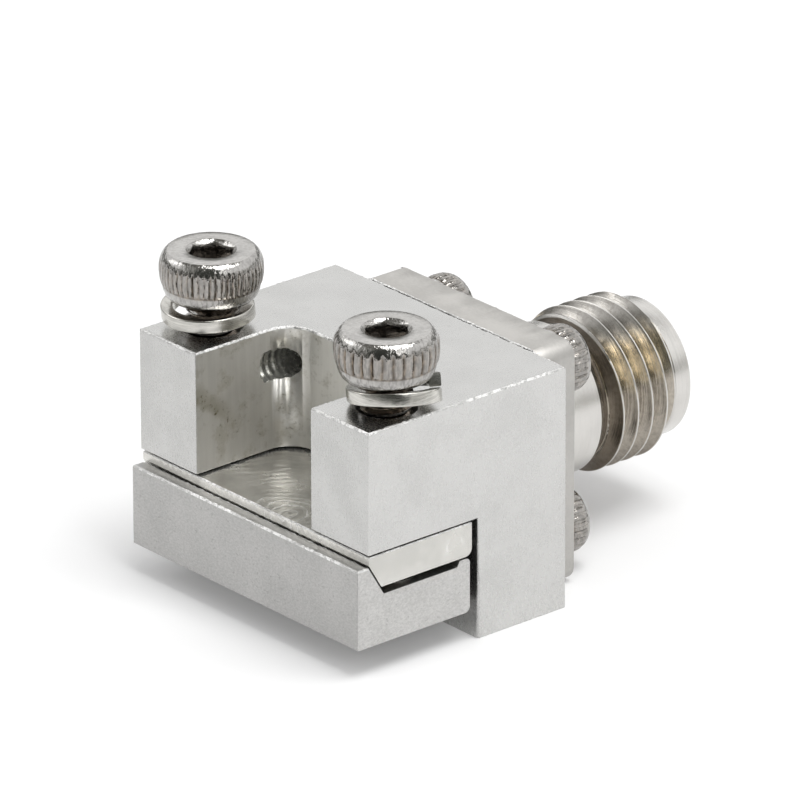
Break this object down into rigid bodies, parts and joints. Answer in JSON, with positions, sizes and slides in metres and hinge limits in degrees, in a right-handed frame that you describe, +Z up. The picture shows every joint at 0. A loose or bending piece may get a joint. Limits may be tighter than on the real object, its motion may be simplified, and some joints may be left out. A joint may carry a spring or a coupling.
{
  "type": "coaxial edge-mount connector",
  "caption": "Clamp-on edge-mount coaxial jack: a notched block and a screwed clamp plate grip a board's edge, and a threaded round jack with a flange carries the signal.",
  "frame": {"origin": "middle of the housing's foot, on the surface that it stands on", "axes": "X across the two ears, Y along the coaxial axis with +Y towards the threaded jack, Z up out of the foot"},
  "size_m": [0.0135, 0.0193, 0.0124],
  "materials": {
    "satin_nickel": "satin",
    "milled_steel": "milled",
    "polished_steel": "polished",
    "spring_steel": "smooth",
    "turned_steel": "turned",
    "gold_plate": "polished",
    "white_insulator": "matte"
  },
  "bodies": {
    "root": {"housing": "satin_nickel", "support_plate": "milled_steel", "clamp_plate": "satin_nickel", "clamp_screw_left": "polished_steel", "clamp_screw_right": "polished_steel", "spring_washer_left": "spring_steel", "spring_washer_right": "spring_steel", "jack_body": "turned_steel", "flange_screw_upper_left": "polished_steel", "flange_screw_lower_left": "polished_steel", "flange_screw_upper_right": "polished_steel", "flange_screw_lower_right": "polished_steel", "jack_insulator": "white_insulator", "centre_contact": "gold_plate", "support_bead": "white_insulator", "launch_bead": "white_insulator", "launch_pin": "gold_plate"}
  },
  "joints": []
}
